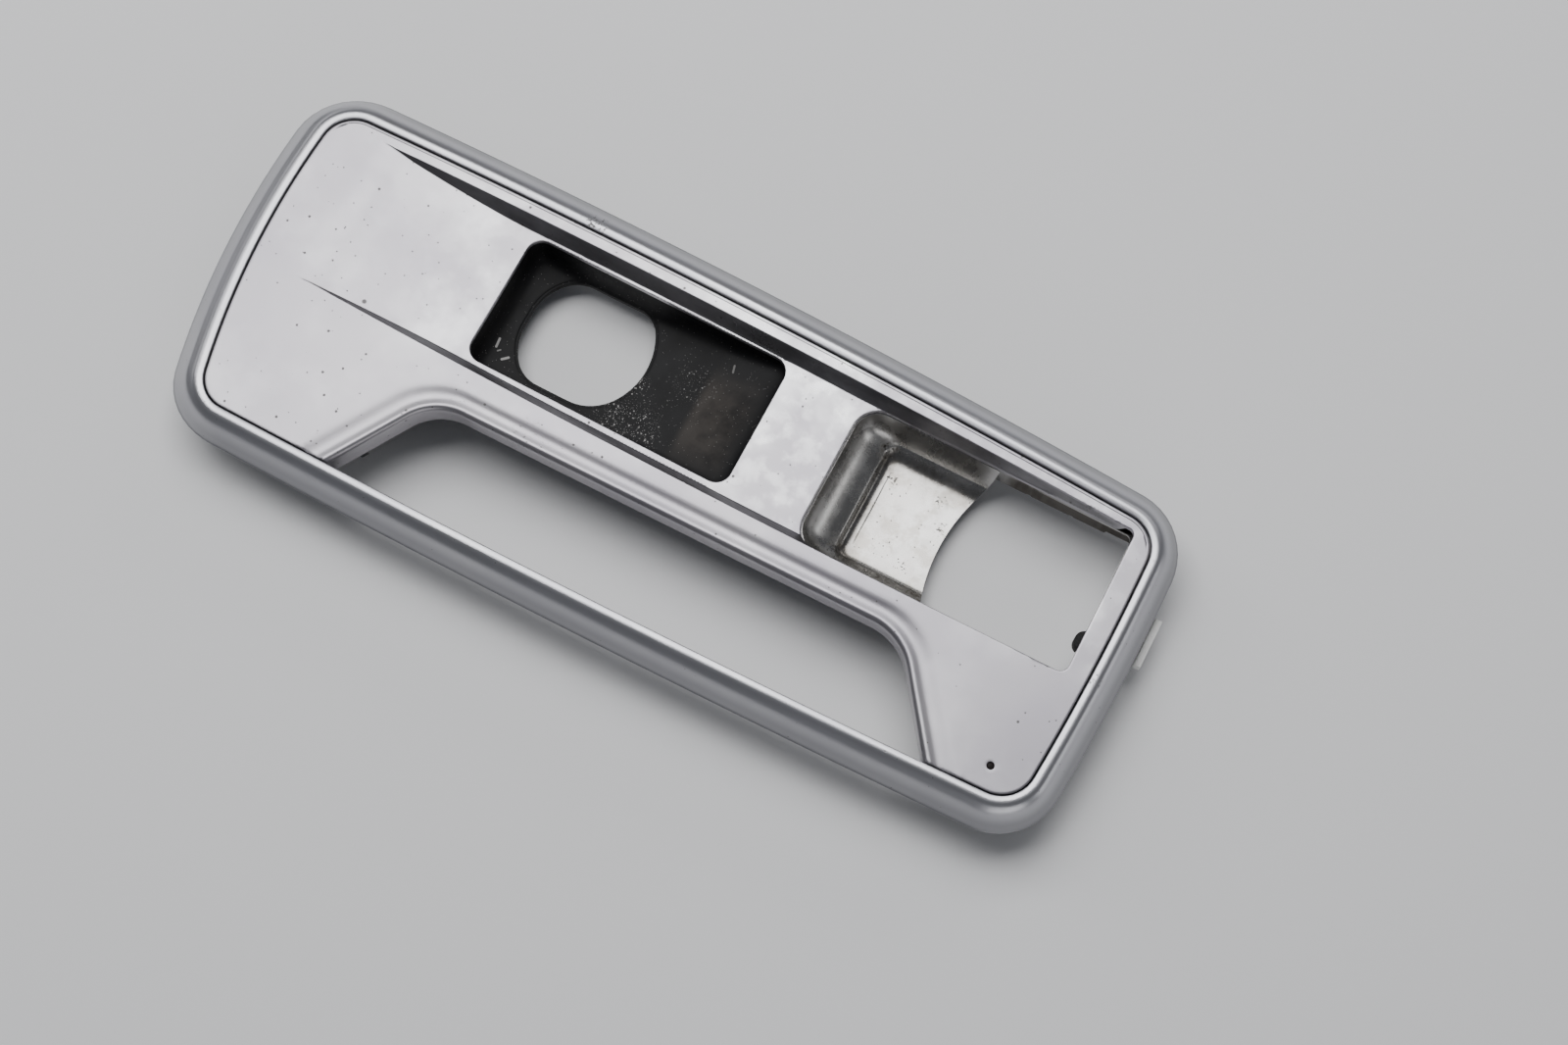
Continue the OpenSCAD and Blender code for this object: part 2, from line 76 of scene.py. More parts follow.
lamps = {
    "overhead": {"at": (-0.30, 0.38, 1.15), "size": (1.15, 0.8), "power": 14.5},
    "leftEnd": {"at": (-1.15, 0.15, 0.75), "size": (0.4, 0.6), "power": 1.6},
    "rightEnd": {"at": (1.25, 0.15, 0.32), "size": (0.7, 0.3), "power": 1.2},
    "farSide": {"at": (0.35, 1.25, 0.7), "size": (0.9, 0.25), "power": 1.2},
    "nearRight": {"at": (1.15, -1.35, 0.50), "size": (1.5, 0.6), "power": 5.0},
}
room = {"colour": (0.60, 0.63, 0.70, 1), "strength": 0.14, "backdrop": 0.72, "floor": 8.0}


def addLamps():
    for name, lamp in lamps.items():
        data = bpy.data.lights.new(name, "AREA")
        data.shape = "RECTANGLE"
        data.size, data.size_y = lamp["size"]
        data.energy = lamp["power"]
        light = bpy.data.objects.new(name, data)
        light.location = lamp["at"]
        light.rotation_euler = Vector(lamp["at"]).to_track_quat("Z", "Y").to_euler()
        bpy.context.scene.collection.objects.link(light)
    world = bpy.data.worlds.new("studio")
    bpy.context.scene.world = world
    world.use_nodes = True
    tree = world.node_tree
    light = tree.nodes["Background"]
    shown = tree.nodes.new("ShaderNodeBackground")      # the plain backdrop, paler than the light it gives
    for background, strength in ((light, room["strength"]), (shown, room["backdrop"])):
        background.inputs["Color"].default_value = room["colour"]
        background.inputs["Strength"].default_value = strength
    path, mix = tree.nodes.new("ShaderNodeLightPath"), tree.nodes.new("ShaderNodeMixShader")
    tree.links.new(path.outputs["Is Camera Ray"], mix.inputs[0])
    tree.links.new(light.outputs[0], mix.inputs[1])
    tree.links.new(shown.outputs[0], mix.inputs[2])
    tree.links.new(mix.outputs[0], tree.nodes["World Output"].inputs["Surface"])
    print("lamps", len(lamps))


class Wire:                       # a shader socket that adds and multiplies like a number
    def __init__(self, finish, socket):
        self.finish, self.socket = finish, socket

    def math(self, operation, a, b=0.0):
        return self.finish.node("ShaderNodeMath", {"operation": operation}, {0: a, 1: b})

    def __add__(self, other):
        return self.math("ADD", self, other)

    def __radd__(self, other):
        return self.math("ADD", other, self)

    def __sub__(self, other):
        return self.math("SUBTRACT", self, other)

    def __rsub__(self, other):
        return self.math("SUBTRACT", other, self)

    def __mul__(self, other):
        return self.math("MULTIPLY", self, other)

    def __rmul__(self, other):
        return self.math("MULTIPLY", other, self)

    def __truediv__(self, other):
        return self.math("DIVIDE", self, other)

    def __pow__(self, other):
        return self.math("POWER", self, other)

    def over(self, low, high):    # 0 below low, 1 above high, smooth between
        return self.finish.node("ShaderNodeMapRange", {"interpolation_type": "SMOOTHSTEP"},
                                {"Value": self, "From Min": low, "From Max": high})

    def under(self, low, high):
        return 1 - self.over(low, high)


class Finish:                     # one procedural material
    def __init__(self, name):
        self.material = bpy.data.materials.new(name)
        self.material.use_nodes = True
        self.tree = self.material.node_tree
        self.tree.nodes.clear()
        self.place = self.node("ShaderNodeTexCoord", {}, {}, "Object")
        split = self.node("ShaderNodeSeparateXYZ", {}, {"Vector": self.place})
        outs = split.socket.node.outputs
        self.x, self.y, self.z = (Wire(self, outs[k]) for k in "XYZ")

    def node(self, kind, settings, inputs, out=0):
        made = self.tree.nodes.new(kind)
        for key, value in settings.items():
            setattr(made, key, value)
        for key, value in inputs.items():
            if isinstance(value, Wire):
                self.tree.links.new(value.socket, made.inputs[key])
            else:
                made.inputs[key].default_value = value
        return None if out is None else Wire(self, made.outputs[out])

    def noise(self, scale, detail, rough, stretch=None, shift=(0, 0, 0)):
        where = self.place
        if stretch or any(shift):
            where = self.node("ShaderNodeMapping", {},
                              {"Vector": self.place, "Scale": stretch or (1, 1, 1), "Location": shift})
        return self.node("ShaderNodeTexNoise", {},
                         {"Vector": where, "Scale": scale, "Detail": detail, "Roughness": rough}, "Fac")

    def cells(self, scale, out="Distance", shift=(0, 0, 0)):
        where = self.node("ShaderNodeMapping", {}, {"Vector": self.place, "Location": shift})
        return self.node("ShaderNodeTexVoronoi", {}, {"Vector": where, "Scale": scale}, out)

    def specks(self, scale, size, share, shift=(0, 0, 0)):    # small dots in a share of the cells
        chance = self.node("ShaderNodeSeparateColor", {}, {"Color": self.cells(scale, "Color", shift)})
        dot = self.cells(scale, "Distance", shift).under(size * 0.7, size)
        return dot * chance.over(1 - share, 1 - share + 0.01)

    def ramp(self, value, low, high):        # straight from 0 to 1
        return self.node("ShaderNodeMapRange", {}, {"Value": value, "From Min": low, "From Max": high})

    def near(self, spot, inner, outer):      # 1 round a spot given in millimetres, fading out
        gap = self.node("ShaderNodeVectorMath", {"operation": "DISTANCE"},
                        {0: self.place, 1: tuple(c * mm for c in spot)}, "Value")
        return gap.under(inner * mm, outer * mm)

    def bar(self, p, q, half):               # 1 on a short straight mark between two plan points
        ux, uy = (q[0] - p[0]) * mm, (q[1] - p[1]) * mm
        dx, dy = self.x - p[0] * mm, self.y - p[1] * mm
        along = (dx * ux + dy * uy) / (ux * ux + uy * uy)
        along = along.math("MINIMUM", along.math("MAXIMUM", along, 0.0), 1.0)
        dx, dy = dx - along * ux, dy - along * uy
        return ((dx * dx + dy * dy) ** 0.5).under(half * 0.7 * mm, half * mm)

    def blend(self, factor, a, b):
        return self.node("ShaderNodeMix", {"data_type": "RGBA"}, {0: factor, 6: a, 7: b}, 2)

    def bump(self, height, distance, strength):
        return self.node("ShaderNodeBump", {},
                         {"Height": height, "Distance": distance, "Strength": strength})

    def surface(self, **sockets):
        inputs = {name.replace("_", " "): value for name, value in sockets.items()}
        shader = self.node("ShaderNodeBsdfPrincipled", {}, inputs)
        self.node("ShaderNodeOutputMaterial", {}, {"Surface": shader}, None)
        return self.material


def satinPlate():
    f = Finish("satinPlate")
    grain = f.noise(4200, 2, 0.6)
    cloud = f.noise(30, 4, 0.6).over(0.45, 0.72)              # handling smudges, strongest in the band, where they also act as a painted highlight
    blotch = f.noise(150, 5, 0.6, shift=(3, 1, 0)).over(0.45, 0.63)
    inBand = f.y.over(-0.006, 0.004) * f.x.over(-0.125, -0.07)
    bridge = f.x.over(0.012, 0.017) * f.x.under(0.036, 0.041)
    smudgeAndBandSheen = cloud * (0.3 + 0.7 * inBand) + blotch * inBand * (0.25 + 0.35 * bridge)
    specks = f.specks(200, 0.10, 0.40) + f.specks(560, 0.16, 0.14, (5, 0, 0))
    nick = f.near((-111.8, 1.8, 23.2), 0.4, 1.0) + f.near((88.6, -28.0, 25.4), 0.2, 0.7) * 0.6
    lipWear = f.near((-45, -15.5, 26), 4, 11) + f.near((-70, -14.5, 26), 2, 7)
    lipChips = f.noise(750, 4, 0.75).over(0.60, 0.66) * lipWear * 0.7
    dirt = (specks + nick + lipChips).over(0.1, 0.9)
    share = 1 - (1 - f.ramp(f.x, -0.1344, -0.079)) ** 1.6     # of the band's full depth
    up = 0.0502 - 0.11905 * (f.x + 0.085) ** 2 - f.y          # distance into the band from each crease
    low = f.y + 0.0046 - 0.1006 * (f.x - 0.05) ** 2
    upReach = 0.0031 * share * (1 - f.ramp(f.x, 0.0397, 0.130))
    # painted shade: a mask over the band's crease walls
    creaseWallShade = (up.over(0, 0.0002) * (up - upReach).under(-0.0001, 0.0002)
             + low.over(0, 0.0002) * (low - 0.0032 * share).under(-0.0001, 0.0002)) * share.over(0.03, 0.2)
    creaseWallShade = creaseWallShade * f.x.under(0.1225, 0.1265)
    wallShadeNoise = f.noise(90, 4, 0.6, stretch=(0.3, 1, 1)).over(0.3, 0.75)
    tone = f.noise(14, 3, 0.5, shift=(0, 2, 0)).over(0.35, 0.65)
    colour = f.blend(tone, (0.355, 0.34, 0.375, 1), (0.42, 0.405, 0.43, 1))
    # painted highlight: the smudges lighten the colour, most in the band and on the bridge, besides real
    # handling marks
    colour = f.blend(smudgeAndBandSheen * 0.55, colour, (0.66, 0.67, 0.67, 1))
    # painted shade darkens the crease walls, broken up by noise
    colour = f.blend(creaseWallShade * (0.55 + 0.3 * wallShadeNoise), colour, (0.06, 0.06, 0.062, 1))
    colour = f.blend(dirt * 0.75, colour, (0.10, 0.095, 0.09, 1))
    return f.surface(Base_Color=colour, Metallic=0.88,
                     Roughness=0.345 + 0.07 * grain - 0.10 * smudgeAndBandSheen + 0.2 * dirt,
                     Normal=f.bump(grain + smudgeAndBandSheen * 0.5 - dirt * 1.5, 0.000022, 0.6))


def satinSilver():
    f = Finish("satinSilver")
    grain = f.noise(4600, 2, 0.6)
    cloud = f.noise(28, 4, 0.55).over(0.45, 0.75)
    rub = f.noise(800, 3, 0.6, stretch=(0.08, 1, 1)).over(0.55, 0.8)
    chipAt = f.near((-60, 56.6, 26.8), 1.5, 6) + f.near((138.4, -2.0, 26.5), 0.8, 3.5)
    chips = f.noise(800, 4, 0.7).over(0.53, 0.58) * chipAt
    specks = f.specks(180, 0.06, 0.3) + f.specks(520, 0.12, 0.10, (1, 2, 0))
    dirt = (chips + specks * 0.6).over(0.1, 0.9)
    colour = f.blend(cloud * 0.35, (0.50, 0.50, 0.53, 1), (0.60, 0.60, 0.605, 1))
    # painted shade: the outer slope below the bead is darkened, less at the left end
    outerSlopeShade = f.z.under(0.0195, 0.0254) * (0.35 + 0.65 * f.x.over(-0.156, -0.125))
    colour = f.blend(outerSlopeShade * 0.72, colour, (0.17, 0.17, 0.18, 1))
    colour = f.blend(dirt * 0.8, colour, (0.10, 0.095, 0.09, 1))
    return f.surface(Base_Color=colour, Metallic=0.9,
                     Roughness=0.30 + 0.07 * grain - 0.05 * cloud + 0.05 * rub + 0.22 * dirt,
                     Normal=f.bump(grain + rub * 0.3 - dirt * 2, 0.000022, 0.6))


def wornSteel():
    f = Finish("wornSteel")
    grain = f.noise(3000, 2, 0.5)
    cloud = f.noise(85, 4, 0.55).over(0.42, 0.7)
    patch = f.noise(230, 5, 0.7, shift=(0, 4, 0)).over(0.42, 0.66)
    streak = f.noise(260, 3, 0.6, stretch=(1, 1, 0.15)).over(0.46, 0.74)
    corner = (f.near((51.5, 38.5, 8.5), 1.0, 6) + f.near((49.5, 3.2, 8.5), 1.0, 6)
              + f.near((54, 45, 15), 1, 6) * 0.3)
    onFloor = f.z.under(0.0068, 0.0090)
    lowLine = f.y.under(0.0012, 0.0036) * f.x.over(0.050, 0.058) * f.z.under(0.010, 0.012)
    upper = f.y.over(0.0405, 0.0435) * f.z.over(0.0095, 0.012)
    # painted shade: the cheeks under the plate's edge are darkened through the grime mask
    across = f.y - 0.0203
    cheek = f.x.over(0.084, 0.092) * across.math("ABSOLUTE", across).over(0.0243, 0.0248)
    # brown grime in the floor's corners, along the lower fillet and on the upper wall, together with the
    # painted cheek shade
    grime = (patch * (corner + lowLine * 0.8) + streak * upper * 0.25 + cheek * 0.85).over(0.05, 1.0)
    cluster = (f.near((56, 32, 5.5), 1, 4.5) + f.near((73, 32, 5.5), 1, 3.5) + f.near((77, 24.5, 5.5), 1, 4)
               + f.near((72, 7, 5.5), 1, 4) + f.near((62, 12, 5.5), 2, 9) * 0.4 + corner)
    pits = (f.noise(1000, 4, 0.65).over(0.54, 0.59) * cluster * f.noise(300, 2, 0.5).over(0.45, 0.55)
            + f.specks(800, 0.19, 0.25) * onFloor * f.noise(500, 2, 0.5, shift=(2, 2, 2)).over(0.40, 0.50)
            + f.near((65, 10, 5.4), 0.35, 0.8) + f.near((57, 6, 5.4), 0.25, 0.55)).over(0.15, 0.9)
    flecks = f.specks(1400, 0.25, 0.14, (2, 3, 1)) * (corner + lowLine) * onFloor
    colour = f.blend(cloud * 0.7, (0.44, 0.43, 0.415, 1), (0.60, 0.595, 0.585, 1))
    stain = f.noise(130, 4, 0.6, shift=(1, 1, 1)).over(0.48, 0.62) * onFloor
    # painted shade: the floor darkens towards its left, upper and lower walls
    floorEdgeShade = (f.x.under(0.0535, 0.0600) * 0.6 + f.y.over(0.029, 0.037) * 0.7
              + f.y.under(0.003, 0.008) * 0.4) * onFloor
    colour = f.blend(stain * 0.55, colour, (0.31, 0.285, 0.25, 1))
    colour = f.blend(floorEdgeShade * (0.4 + 0.4 * patch), colour, (0.15, 0.135, 0.12, 1))
    # grime, and painted shade on the cheeks, darken the colour
    colour = f.blend(grime * 0.9, colour, (0.045, 0.034, 0.023, 1))
    colour = f.blend(pits * 0.92, colour, (0.04, 0.036, 0.03, 1))
    colour = f.blend(flecks * 0.7, colour, (0.62, 0.60, 0.56, 1))
    return f.surface(Base_Color=colour, Metallic=0.97 - 0.25 * grime,
                     Roughness=(0.22 + 0.05 * cloud + 0.05 * grain + 0.06 * streak
                                + 0.35 * grime + 0.3 * pits),
                     Normal=f.bump(cloud * 0.3 + (grain * 0.2 - pits * 2) * onFloor, 0.00002, 0.5))


def blackLiner():
    f = Finish("blackLiner")
    grain = f.noise(3200, 3, 0.6)
    haze = f.noise(60, 4, 0.6).over(0.35, 0.75)
    patch = f.noise(75, 4, 0.6, shift=(0, 0, 2)).over(0.30, 0.62)
    # a lighter patch on the floor's right part: a painted soft reflection mixed with wear
    wornAndSheen = (f.x.over(-0.0095, -0.0060) * f.x.under(0.0060, 0.0118)
            * f.y.over(0.001, 0.014) * f.y.under(0.026, 0.040))
    drift = (f.near((-24, 7, 9), 3, 17) + f.near((-27, 22, 10), 1, 6) * 0.8
             + f.near((-12, 28, 12), 2, 13) * 0.5)
    inside = f.z.under(0.0186, 0.0192)
    dust = (f.specks(1300, 0.34, 0.5) * drift * f.noise(160, 3, 0.6).over(0.38, 0.55)
            + f.specks(620, 0.20, 0.45, (1, 0, 0)) * (0.08 + 0.92 * drift)
            + f.specks(2600, 0.34, 0.4, (0, 3, 0)) * drift * 0.7
            + f.specks(2400, 0.30, 0.06, (0, 0, 7)) * 0.5) * inside
    chips = (f.bar((-72.9, 14.4), (-72.6, 11.6), 0.42) + f.bar((-69.1, 8.8), (-67.5, 10.3), 0.45)
             + f.bar((-71.6, 10.6), (-70.9, 11.3), 0.3) * 0.5
             + f.bar((-2.9, 39.6), (-2.3, 37.4), 0.4) * 0.4)
    crumbs = f.noise(900, 4, 0.7).over(0.58, 0.66) * f.near((-26.6, 23.5, 10.2), 0.6, 3.6)
    level = 0.008 + 2.174 * (f.x + 0.048) ** 2                # the curved floor's height
    upperSide = f.z.over(level - 0.0009, level - 0.0004)
    dust = (dust + chips + crumbs).over(0.1, 0.8) * upperSide
    colour = f.blend(haze * 0.6, (0.0045, 0.0045, 0.0055, 1), (0.014, 0.0135, 0.0135, 1))
    colour = f.blend(wornAndSheen * (0.15 + 0.6 * patch) * upperSide, colour, (0.070, 0.062, 0.056, 1))
    colour = f.blend(dust * 0.85, colour, (0.46, 0.45, 0.44, 1))
    return f.surface(Base_Color=colour, Metallic=0.0,
                     Roughness=0.55 + 0.12 * haze + 0.12 * wornAndSheen + 0.2 * dust, Specular_IOR_Level=0.24,
                     Normal=f.bump(grain * 0.6 + dust * 3, 0.00003, 0.6))


def moulding(name, base, glint, rough):
    f = Finish(name)
    grain = f.noise(2400, 4, 0.62)
    flow = f.noise(42, 3, 0.55, stretch=(0.4, 1, 1)).over(0.4, 0.7)
    fibre = f.specks(3000, 0.16, 0.10)
    scuff = f.noise(700, 4, 0.7, stretch=(1, 0.12, 1)).over(0.66, 0.76)
    colour = f.blend(flow * 0.5 + fibre * 0.4 + scuff * 0.4, (*base, 1), (*glint, 1))
    return f.surface(Base_Color=colour, Metallic=0.0, Roughness=rough + 0.12 * grain - 0.06 * flow,
                     Normal=f.bump(grain * 0.8 + fibre * 0.5, 0.00003, 0.5))


def metalWork(name, base, dull, rough):
    f = Finish(name)
    fine = f.noise(3200, 3, 0.6)
    bloom = f.noise(420, 4, 0.6).over(0.4, 0.7)
    wear = f.noise(1500, 4, 0.7).over(0.6, 0.72)
    colour = f.blend(bloom * 0.6 + wear * 0.4, (*base, 1), (*dull, 1))
    return f.surface(Base_Color=colour, Metallic=1.0, Roughness=rough + 0.15 * bloom + 0.08 * fine,
                     Normal=f.bump(fine * 0.5 + bloom * 0.5, 0.00002, 0.5))


def nylon(name, base, shade):
    f = Finish(name)
    cloud = f.noise(240, 4, 0.55).over(0.4, 0.7)
    fine = f.noise(5200, 2, 0.5)
    grime = f.noise(900, 4, 0.7).over(0.62, 0.75)
    colour = f.blend(cloud * 0.5, (*base, 1), (*shade, 1))
    colour = f.blend(grime * 0.35, colour, (0.35, 0.32, 0.27, 1))
    return f.surface(Base_Color=colour, Metallic=0.0, Roughness=0.42 + 0.1 * cloud, Subsurface_Weight=0.12,
                     Subsurface_Radius=(0.002, 0.002, 0.002), Normal=f.bump(fine, 0.00002, 0.4))


def softStuff(name, base, light, pore, depth):
    f = Finish(name)
    pores = f.cells(pore)
    fuzz = f.noise(pore * 1.7, 5, 0.75)
    colour = f.blend(fuzz.over(0.4, 0.7), (*base, 1), (*light, 1))
    return f.surface(Base_Color=colour, Metallic=0.0, Roughness=0.86 + 0.1 * pores,
                     Normal=f.bump(pores * 0.6 + fuzz * 0.8, depth, 0.8))


def smokedLens():
    f = Finish("smokedLens")
    fine = f.noise(1800, 3, 0.6)
    colour = f.blend(fine.over(0.5, 0.8), (0.012, 0.008, 0.008, 1), (0.024, 0.015, 0.014, 1))
    return f.surface(Base_Color=colour, Metallic=0.0, Roughness=0.5 + 0.1 * fine, Specular_IOR_Level=0.2,
                     Normal=f.bump(fine, 0.00001, 0.3))


finishes = {
    "satin_silver": satinSilver(),
    "satin_plate": satinPlate(),
    "black_liner": blackLiner(),
    "pressed_steel": wornSteel(),
    "black_moulding": moulding("blackMoulding", (0.013, 0.013, 0.014), (0.045, 0.045, 0.047), 0.46),
    "zinc_steel": metalWork("zincSteel", (0.56, 0.57, 0.58), (0.36, 0.37, 0.38), 0.30),
    "zinc_screws": metalWork("zincScrews", (0.52, 0.53, 0.55), (0.30, 0.30, 0.31), 0.28),
    "white_nylon": nylon("whiteNylon", (0.93, 0.93, 0.91), (0.84, 0.84, 0.81)),
    "natural_nylon": nylon("naturalNylon", (0.76, 0.74, 0.66), (0.62, 0.59, 0.50)),
    "foam": softStuff("foam", (0.020, 0.020, 0.021), (0.055, 0.055, 0.058), 2600, 0.0002),
    "stop_rubber": softStuff("stopRubber", (0.012, 0.012, 0.012), (0.032, 0.032, 0.033), 1800, 0.00004),
    "felt": softStuff("felt", (0.040, 0.040, 0.043), (0.125, 0.125, 0.130), 1500, 0.0003),
    "insert_brass": metalWork("insertBrass", (0.71, 0.50, 0.20), (0.42, 0.28, 0.12), 0.30),
    "smoked_lens": smokedLens(),
}
print("finishes", len(finishes))


def boxOf(node):
    low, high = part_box(node)
    return low / mm, high / mm


def newMesh(name, *parts):        # each part is its points and its faces
    verts, faces = [], []
    for points, sides in parts:
        start = len(verts)
        verts += [(x * mm, y * mm, z * mm) for x, y, z in points]
        faces += [tuple(i + start for i in side) for side in sides]
    mesh = bpy.data.meshes.new(name)
    mesh.from_pydata(verts, [], faces)
    mesh.validate()
    work = bmesh.new()
    work.from_mesh(mesh)
    bmesh.ops.recalc_face_normals(work, faces=work.faces)
    work.to_mesh(mesh)
    work.free()
    return mesh


def newObject(name, mesh):
    made = bpy.data.objects.new(name, mesh)
    bpy.context.scene.collection.objects.link(made)
    return made


def withModifier(name, mesh, kind, **settings):
    made = newObject(name, mesh)
    modifier = made.modifiers.new("shape", kind)
    for key, value in settings.items():
        setattr(modifier, key, value)
    bpy.context.view_layer.update()
    result = bpy.data.meshes.new_from_object(made.evaluated_get(bpy.context.evaluated_depsgraph_get()))
    bpy.data.objects.remove(made)
    return result


def standIn(node, mesh, sharp):          # the mesh becomes the visible piece of a node
    piece = newObject(node + "Piece", mesh)
    mesh.polygons.foreach_set("use_smooth", [True] * len(mesh.polygons))
    mesh.set_sharp_from_angle(angle=math.radians(sharp))
    mesh.materials.clear()
    mesh.materials.append(finishes[slotOf[node]])
    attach(piece, bodyOf[node])
    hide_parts(node)
    print("piece", node, len(mesh.polygons))


def arcSamples(centre, radius, start, turn, step):
    count = max(3, math.ceil(abs(turn) * radius / min(step, 0.16 * radius)))
    angles = [start + turn * k / count for k in range(count)]
    return [(centre[0] + radius * math.cos(a), centre[1] + radius * math.sin(a), math.cos(a), math.sin(a))
            for a in angles]


class Outline:                    # a convex outline; its sample(step) gives x, y and the outward normal
    def __init__(self, sample):
        self.sample = sample
        self.fine = sample(0.4)
        self.tree = KDTree(len(self.fine))
        for i, p in enumerate(self.fine):
            self.tree.insert((p[0], p[1], 0), i)
        self.tree.balance()

    def ring(self, out, step):
        return [(x + nx * out, y + ny * out) for x, y, nx, ny in self.sample(step)]

    def near(self, x, y):         # distance outward, negative inside, and the normal there
        px, py, nx, ny = self.fine[self.tree.find((x, y, 0))[1]]
        return (x - px) * nx + (y - py) * ny, nx, ny

    def away(self, x, y):
        return self.near(x, y)[0]


def roundedOutline(corners, radii):      # corners anticlockwise
    arcs = []
    for i, (b, r) in enumerate(zip(corners, radii)):
        a, b, c = Vector(corners[i - 1]), Vector(b), Vector(corners[(i + 1) % len(corners)])
        u, v = (a - b).normalized(), (c - b).normalized()
        half = u.angle(v) / 2
        centre = b + (u + v).normalized() * (r / math.sin(half))
        first = b + u * (r / math.tan(half)) - centre
        arcs.append((centre, r, math.atan2(first.y, first.x), math.pi - 2 * half))

    def sample(step):
        out = []
        for i, (centre, r, start, turn) in enumerate(arcs):
            out += arcSamples(centre, r, start, turn, step)
            end = start + turn
            p = centre + Vector((math.cos(end), math.sin(end))) * r
            after = arcs[(i + 1) % len(arcs)]
            q = after[0] + Vector((math.cos(after[2]), math.sin(after[2]))) * after[1]
            count = max(1, math.ceil((q - p).length / step))
            out += [(*(p + (q - p) * (k / count)), math.cos(end), math.sin(end)) for k in range(count)]
        return out
    return Outline(sample)


# Plan points, kept apart: own is the least gap to the same kind of point, other to any other kind.
class Sprinkle:
    def __init__(self):
        self.points, self.kinds, self.cells = [], [], {}

    def add(self, line, kind, own, other):
        for point in line:
            ci, cj = math.floor(point[0]), math.floor(point[1])
            near = [k for i in (ci - 1, ci, ci + 1) for j in (cj - 1, cj, cj + 1)
                    for k in self.cells.get((i, j), ())]
            if any(math.dist(self.points[k], point) < (own if self.kinds[k] == kind else other)
                   for k in near):
                continue
            self.cells.setdefault((ci, cj), []).append(len(self.points))
            self.points.append(tuple(point))
            self.kinds.append(kind)


# A closed sheet between two heights, kept where inside says so: loops bound it, lines crease it.
def sheet(loops, loose, inside, top, under, lines=()):
    points, edges = [], []
    for loop in loops:
        start = len(points)
        points += loop
        edges += [(start + k, start + (k + 1) % len(loop)) for k in range(len(loop))]
    for line in lines:
        edges += [(len(points) + k, len(points) + k + 1) for k in range(len(line) - 1)]
        points += line
    points += loose
    flat = delaunay_2d_cdt([Vector(p) for p in points], edges, [], 0, 1e-4, False)
    plan = [tuple(v) for v in flat[0]]
    keep = [tuple(f) for f in flat[2]
            if inside(sum(plan[i][0] for i in f) / 3, sum(plan[i][1] for i in f) / 3)]
    sides = {(a, b) for f in keep for a, b in zip(f, f[1:] + f[:1])}
    used = sorted({i for f in keep for i in f})
    place = {old: new for new, old in enumerate(used)}
    count = len(used)
    verts = [(*plan[i], top(*plan[i])) for i in used] + [(*plan[i], under(*plan[i])) for i in used]
    faces = [tuple(place[i] for i in f) for f in keep]
    faces += [tuple(i + count for i in reversed(f)) for f in faces]
    faces += [(place[b], place[a], place[a] + count, place[b] + count)
              for a, b in sides if (b, a) not in sides]
    return verts, faces


def tube(at, outer, bore, low, high, turns=28):
    verts, faces = [], []
    for k in range(turns):
        c, s = math.cos(2 * math.pi * k / turns), math.sin(2 * math.pi * k / turns)
        verts += [(at[0] + r * c, at[1] + r * s, z)
                  for r, z in ((bore, low), (outer, low), (outer, high), (bore, high))]
        a, b = 4 * k, 4 * ((k + 1) % turns)
        faces += [(a + j, b + j, b + (j + 1) % 4, a + (j + 1) % 4) for j in range(4)]
    return verts, faces


def prism(outline, axis, low, high):      # an outline pushed along one axis
    count = len(outline)
    verts = []
    for level in (low, high):
        for point in outline:
            spot = list(point)
            spot.insert(axis, level)
            verts.append(tuple(spot))
    faces = [tuple(range(count)), tuple(range(2 * count - 1, count - 1, -1))]
    faces += [(k, (k + 1) % count, (k + 1) % count + count, k + count) for k in range(count)]
    return verts, faces


def block(x0, y0, z0, x1, y1, z1):
    return prism([(x0, y0), (x1, y0), (x1, y1), (x0, y1)], 2, z0, z1)


def clamp01(t):
    return max(0.0, min(1.0, t))


def ease(t):
    t = clamp01(t)
    return t * t * (3 - 2 * t)


def softMax(value, k):            # max(value, 0) with a rounded corner
    if value <= -k:
        return 0.0
    return value if value >= k else (value + k) ** 2 / (4 * k)


def softMin(a, b, k):
    return a - softMax(a - b, k)


def edgeDrop(e, r):               # how far a rounded edge has fallen, e inside the edge
    return r - math.sqrt(max(0.0, r * r - max(r - e, 0) ** 2)) if e < r else 0.0


def smoothCurve(keys, parts):     # a curve through the keys, which are rows of numbers
    out = []
    for i in range(len(keys) - 1):
        a, b = keys[max(i - 1, 0)], keys[i]
        c, d = keys[i + 1], keys[min(i + 2, len(keys) - 1)]
        for k in range(parts):
            t = k / parts
            out.append(tuple(0.5 * (2 * q + (r - p) * t + (2 * p - 5 * q + 4 * r - s) * t * t
                                    + (3 * q - p - 3 * r + s) * t ** 3) for p, q, r, s in zip(a, b, c, d)))
    return out + [tuple(keys[-1])]


screwGap = 8


def screwSpots(node):             # where the screws of a node stand, in plan
    groups = []
    for v in nodes[node].data.vertices:
        x, y = v.co.x / mm, v.co.y / mm
        group = next((g for g in groups if math.dist(g[0], (x, y)) < screwGap), None)
        if group is None:
            groups.append([(x, y)])
        else:
            group.append((x, y))
    return [tuple((min(p[k] for p in g) + max(p[k] for p in g)) / 2 for k in (0, 1)) for g in groups]


seamShape = {"radii": (5300, 750, 3247, 265), "along": (-60, 20, -70, 28), "corner": 11, "gap": 0.5,
             "near": ((137, -47), (135, 49), (-149, 52), (-140, -49))}


